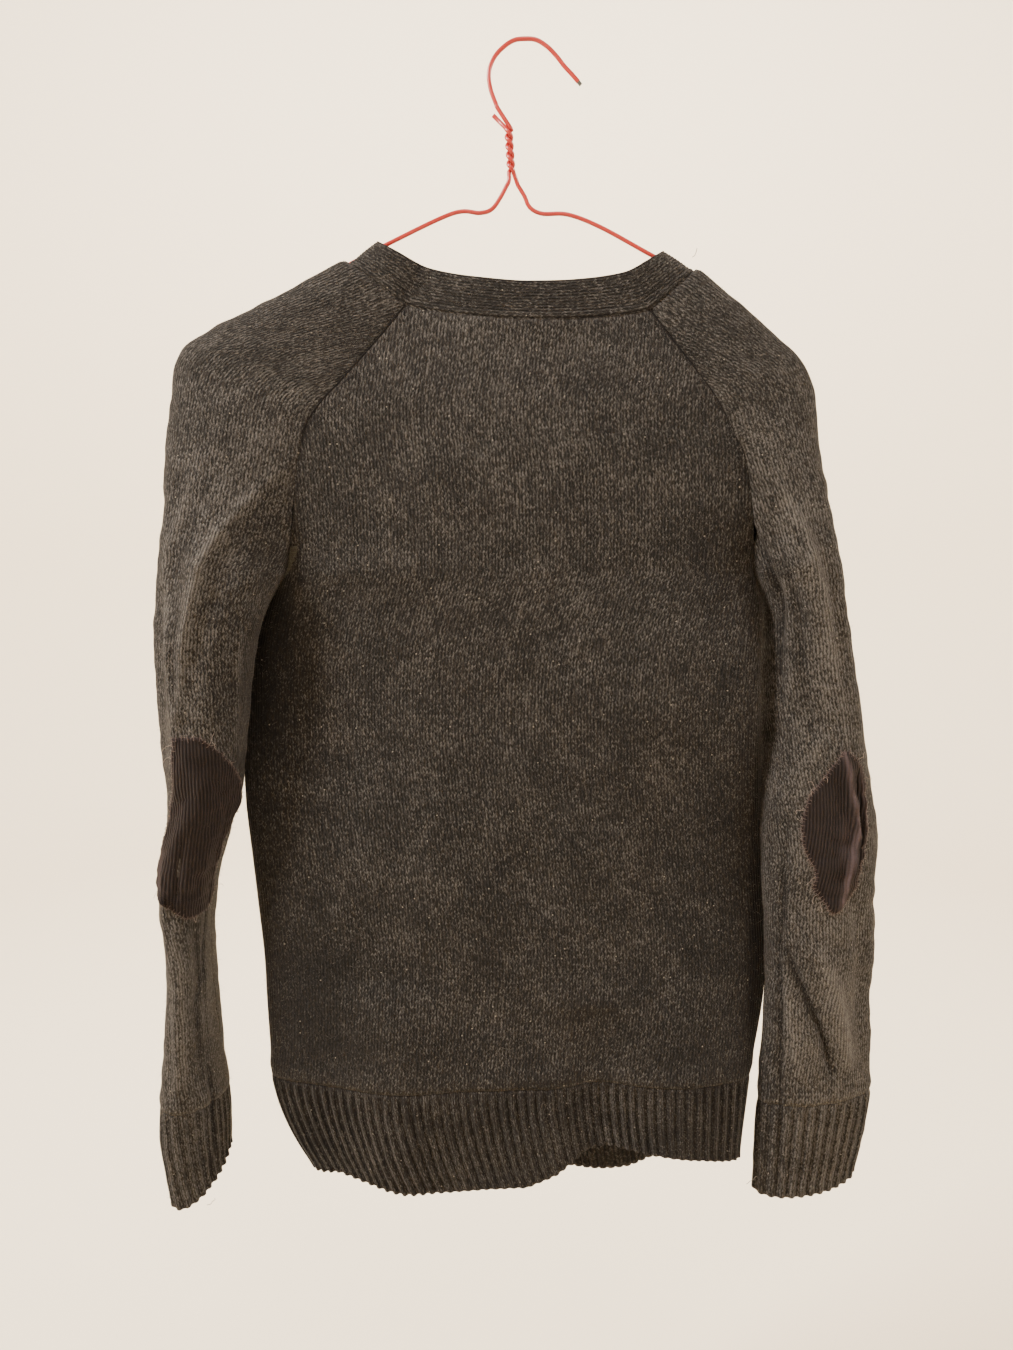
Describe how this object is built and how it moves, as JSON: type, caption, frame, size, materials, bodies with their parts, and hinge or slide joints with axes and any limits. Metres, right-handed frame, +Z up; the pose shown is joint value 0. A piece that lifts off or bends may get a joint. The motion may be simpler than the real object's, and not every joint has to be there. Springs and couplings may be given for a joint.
{
  "type": "darned wool sweater hanging on a wire hanger",
  "caption": "Worn raglan wool pullover with a sewn neckband, ribbed hem and cuffs and frayed corduroy elbow patches, hanging on a plastic-coated wire hanger.",
  "frame": {"origin": "the point under the crest of the hanger's hook where it rests on what holds it", "axes": "+Z up, +X to the right of someone who looks at the garment's back, -Y the way the back faces"},
  "size_m": [0.5341, 0.0956, 0.8148],
  "materials": {
    "knit": "heathered lambswool stocking stitch, milled and pilled",
    "rib": "heathered lambswool two by two rib",
    "corduroy": "fine-wale cotton corduroy, worn and frayed",
    "wire": "glossy plastic coating on steel wire"
  },
  "bodies": {
    "root": {"back": "knit", "front": "knit", "sleeve_left": "knit", "sleeve_right": "knit", "neckband": "rib", "hem_rib_back": "rib", "hem_rib_front": "rib", "cuff_left": "rib", "cuff_right": "rib", "elbow_patch_left": "corduroy", "elbow_patch_right": "corduroy", "hanger_hook": "wire", "hanger_frame": "wire"}
  },
  "joints": []
}
